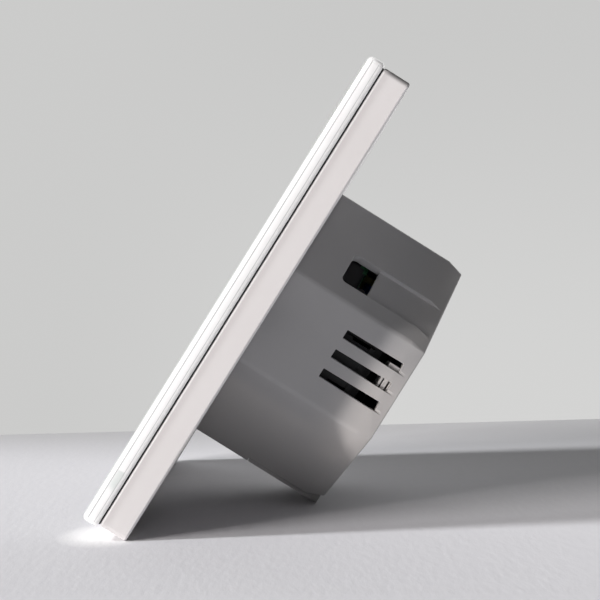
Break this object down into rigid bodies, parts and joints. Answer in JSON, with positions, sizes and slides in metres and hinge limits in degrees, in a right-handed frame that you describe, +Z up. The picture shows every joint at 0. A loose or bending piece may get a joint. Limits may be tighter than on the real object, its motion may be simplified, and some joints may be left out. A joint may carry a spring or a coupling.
{
  "type": "smart light switch",
  "caption": "Glass-fronted touch light switch with an octagonal rear box for a wall box, screw terminals, relays and a wireless board.",
  "frame": {"origin": "in the plane of the frame's back face, which is the wall's, on the axis of the rear box; the glass and the frame stand 0.8 mm higher than this axis", "axes": "+Z up, +Y into the wall, +X to the right for a person who faces the glass"},
  "size_m": [0.086, 0.0344, 0.086],
  "materials": {
    "white_glass": "polished, with a ground edge; white lacquer behind",
    "black_adhesive": "matt foam tape",
    "carrier_plastic": "fine grain",
    "frame_plastic": "fine grain, warm white",
    "plate_steel": "zinc-plated sheet",
    "zinc_screw": "zinc-plated",
    "black_plastic": "fine grain",
    "touch_board_fr4": "solder mask",
    "power_board_fr4": "solder mask",
    "wireless_fr4": "solder mask",
    "spring_steel": "bright wire",
    "clear_guide": "clear",
    "lamp_resin": "clear resin",
    "chip_resin": "moulded resin",
    "shield_tin": "tinned",
    "gold_pin": "plated",
    "housing_plastic": "fine grain, light grey",
    "terminal_plastic": "fine grain, light grey",
    "tinned_copper": "tinned",
    "clamp_steel": "zinc-plated",
    "relay_plastic": "moulded",
    "relay_iron": "nickel-plated",
    "bobbin_plastic": "moulded",
    "copper_wire": "enamelled copper",
    "contact_copper": "bright",
    "ferrite": "sintered",
    "winding_tape": "copper under yellow tape",
    "capacitor_sleeve": "dark sleeve over a can",
    "film_case": "cast resin",
    "disc_resin": "dipped resin",
    "fuse_glass": "clear tube with plated caps"
  },
  "bodies": {
    "switch": {"panel_frame": "frame_plastic", "mounting_plate": "plate_steel", "plate_screws": "zinc_screw", "inner_chassis": "black_plastic", "touch_board": "touch_board_fr4", "touch_spring_left": "spring_steel", "touch_spring_right": "spring_steel", "light_ring_left": "clear_guide", "light_ring_right": "clear_guide", "indicator_lamps": "lamp_resin", "touch_chip": "chip_resin", "wireless_board": "wireless_fr4", "wireless_shield": "shield_tin", "header_strip": "black_plastic", "header_pins": "gold_pin", "header_socket": "black_plastic", "power_board": "power_board_fr4", "board_screws": "zinc_screw", "rear_housing": "housing_plastic", "terminal_block": "terminal_plastic", "terminal_contacts": "tinned_copper", "relay_case_1": "relay_plastic", "relay_base_1": "relay_plastic", "relay_yoke_1": "relay_iron", "relay_bobbin_1": "bobbin_plastic", "relay_coil_1": "copper_wire", "relay_fixed_contact_1": "contact_copper", "relay_case_2": "relay_plastic", "relay_base_2": "relay_plastic", "relay_yoke_2": "relay_iron", "relay_bobbin_2": "bobbin_plastic", "relay_coil_2": "copper_wire", "relay_fixed_contact_2": "contact_copper", "transformer_core": "ferrite", "transformer_bobbin": "black_plastic", "transformer_winding": "winding_tape", "large_capacitor": "capacitor_sleeve", "small_capacitor": "capacitor_sleeve", "film_capacitor": "film_case", "varistor": "disc_resin", "fuse": "fuse_glass", "choke": "ferrite", "rectifier": "chip_resin", "supply_chip": "chip_resin"},
    "cover": {"glass_panel": "white_glass", "adhesive_ring": "black_adhesive", "cover_carrier": "carrier_plastic"},
    "screw_1": {"terminal_screw_1": "zinc_screw"},
    "clamp_1": {"terminal_clamp_1": "clamp_steel"},
    "screw_2": {"terminal_screw_2": "zinc_screw"},
    "clamp_2": {"terminal_clamp_2": "clamp_steel"},
    "screw_3": {"terminal_screw_3": "zinc_screw"},
    "clamp_3": {"terminal_clamp_3": "clamp_steel"},
    "armature_1": {"relay_armature_1": "relay_iron", "relay_leaf_1": "contact_copper"},
    "armature_2": {"relay_armature_2": "relay_iron", "relay_leaf_2": "contact_copper"}
  },
  "joints": [
    {"name": "cover_pull", "type": "slide", "parent": "switch", "child": "cover", "axis": [0, -1, 0], "range_m": [0, 0.015]},
    {"name": "screw_1_turn", "type": "hinge", "parent": "switch", "child": "screw_1", "pos_m": [-0.006, 0.0208, -0.0187], "axis": [0, -1, 0], "range_deg": [0, 1585]},
    {"name": "clamp_1_rise", "type": "slide", "parent": "switch", "child": "clamp_1", "axis": [0, 1, 0], "range_m": [0, 0.0022]},
    {"name": "screw_2_turn", "type": "hinge", "parent": "switch", "child": "screw_2", "pos_m": [0, 0.0208, -0.0187], "axis": [0, -1, 0], "range_deg": [0, 1585]},
    {"name": "clamp_2_rise", "type": "slide", "parent": "switch", "child": "clamp_2", "axis": [0, 1, 0], "range_m": [0, 0.0022]},
    {"name": "screw_3_turn", "type": "hinge", "parent": "switch", "child": "screw_3", "pos_m": [0.006, 0.0208, -0.0187], "axis": [0, -1, 0], "range_deg": [0, 1585]},
    {"name": "clamp_3_rise", "type": "slide", "parent": "switch", "child": "clamp_3", "axis": [0, 1, 0], "range_m": [0, 0.0022]},
    {"name": "armature_1_swing", "type": "hinge", "parent": "switch", "child": "armature_1", "pos_m": [-0.0167, 0.0212, -0.0068], "axis": [1, 0, 0], "range_deg": [0, 3.5], "stiffness_Nm_per_rad": 0.0005, "springref_deg": -5.73},
    {"name": "armature_2_swing", "type": "hinge", "parent": "switch", "child": "armature_2", "pos_m": [-0.0065, 0.0212, -0.01], "axis": [1, 0, 0], "range_deg": [0, 3.5], "stiffness_Nm_per_rad": 0.0005, "springref_deg": -5.73}
  ],
  "couplings": [
    {"joint": "screw_1_turn", "follows": "clamp_1_rise", "rad_per_m": 12566},
    {"joint": "screw_2_turn", "follows": "clamp_2_rise", "rad_per_m": 12566},
    {"joint": "screw_3_turn", "follows": "clamp_3_rise", "rad_per_m": 12566}
  ]
}
